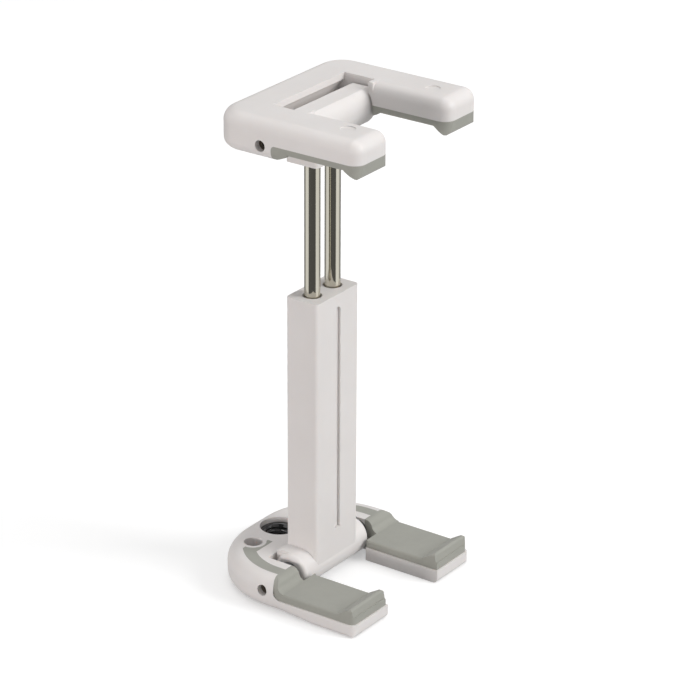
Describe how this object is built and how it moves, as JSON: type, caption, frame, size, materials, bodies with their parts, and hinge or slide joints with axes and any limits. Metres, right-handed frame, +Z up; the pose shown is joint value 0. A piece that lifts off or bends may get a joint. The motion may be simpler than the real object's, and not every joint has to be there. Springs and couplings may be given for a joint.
{
  "type": "tripod phone clamp",
  "caption": "Folding spring clamp that holds a phone on a tripod: hinged two-armed jaws on a slim column with twin sliding rods.",
  "frame": {"origin": "on the tripod socket's axis, at the underside of the lower jaw", "axes": "+Z up along the column towards the upper jaw, -Y the way the arms point, towards the phone, +X across the jaws"},
  "size_m": [0.0436, 0.0424, 0.1099],
  "materials": {
    "white_shell": "satin, warm off-white",
    "grey_grip": "matte, soft grey",
    "polished_steel": "polished",
    "steel": "plain",
    "black_insert": "black, glossy",
    "inner_plastic": "plain"
  },
  "bodies": {
    "base": {"base_jaw": "white_shell", "base_grip_left": "grey_grip", "base_grip_right": "grey_grip", "tripod_insert": "black_insert", "base_pin_left": "steel", "base_pin_right": "steel", "base_washer_left": "inner_plastic", "base_washer_right": "inner_plastic"},
    "column": {"column": "white_shell", "guide_bush_left": "inner_plastic", "guide_bush_right": "inner_plastic", "bore_plug_left": "white_shell", "bore_plug_right": "white_shell", "spring_left": "steel", "spring_right": "steel"},
    "slider": {"crosshead": "white_shell", "rod_left": "polished_steel", "rod_right": "polished_steel", "spring_seat_left": "steel", "spring_seat_right": "steel", "rod_clip_left": "steel", "rod_clip_right": "steel"},
    "top_jaw": {"top_jaw": "white_shell", "top_grip_left": "grey_grip", "top_grip_right": "grey_grip", "top_pin_left": "steel", "top_pin_right": "steel", "top_washer_left": "inner_plastic", "top_washer_right": "inner_plastic"}
  },
  "joints": [
    {"name": "base_hinge", "type": "hinge", "parent": "base", "child": "column", "pos_m": [0, -0.0115, 0.0043], "axis": [1, 0, 0], "range_deg": [0, 90]},
    {"name": "jaw_slide", "type": "slide", "parent": "column", "child": "slider", "axis": [0, 0, 1], "range_m": [-0.03, 0], "stiffness_N_per_m": 40, "springref_m": -0.03, "deforming": ["spring_left", "spring_right"]},
    {"name": "top_hinge", "type": "hinge", "parent": "slider", "child": "top_jaw", "pos_m": [0, -0.0115, 0.1044], "axis": [1, 0, 0], "range_deg": [0, 90]}
  ]
}
